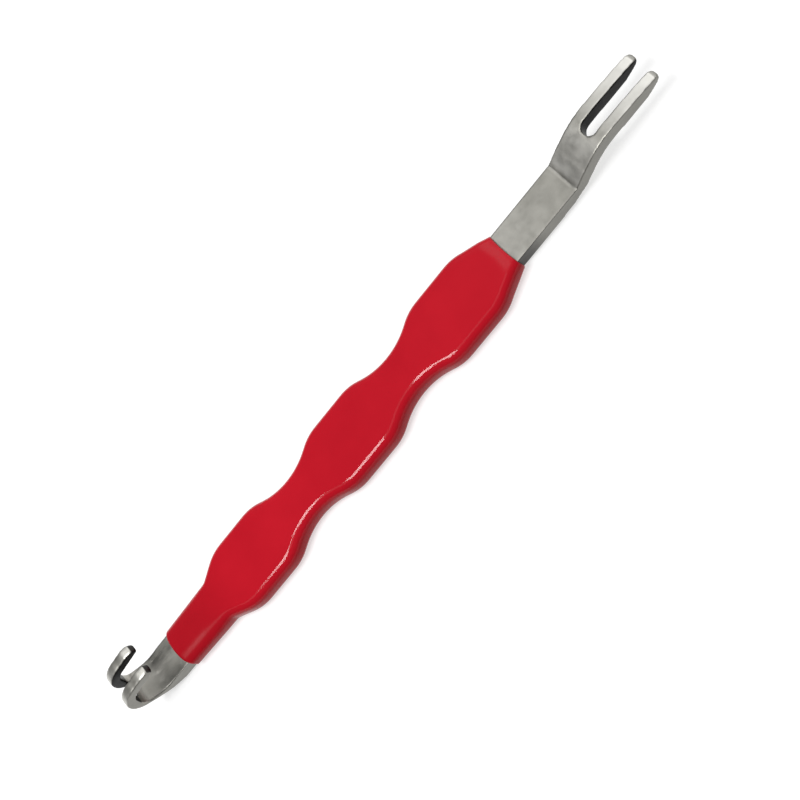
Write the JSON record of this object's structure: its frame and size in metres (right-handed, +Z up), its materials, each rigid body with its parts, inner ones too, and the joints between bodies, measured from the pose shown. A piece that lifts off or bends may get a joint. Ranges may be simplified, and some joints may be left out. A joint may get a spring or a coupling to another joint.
{
  "type": "electrical connector separator",
  "caption": "Hand tool for parting electrical plugs: a flat steel blade with a slotted push fork at one end, a slotted pull hook at the other, and a wavy dipped vinyl grip.",
  "frame": {"origin": "under the middle of the tool, on the plane of the grip's flat underside", "axes": "+X along the tool from the hook to the fork, +Y across the blade, +Z up, the side that the hook curls to and the fork is offset to"},
  "size_m": [0.215, 0.0212, 0.0199],
  "materials": {
    "steel": "satin, tumbled after forging",
    "vinyl": "glossy dipped vinyl"
  },
  "bodies": {
    "root": {"steel_blade": "steel", "vinyl_grip": "vinyl"}
  },
  "joints": []
}
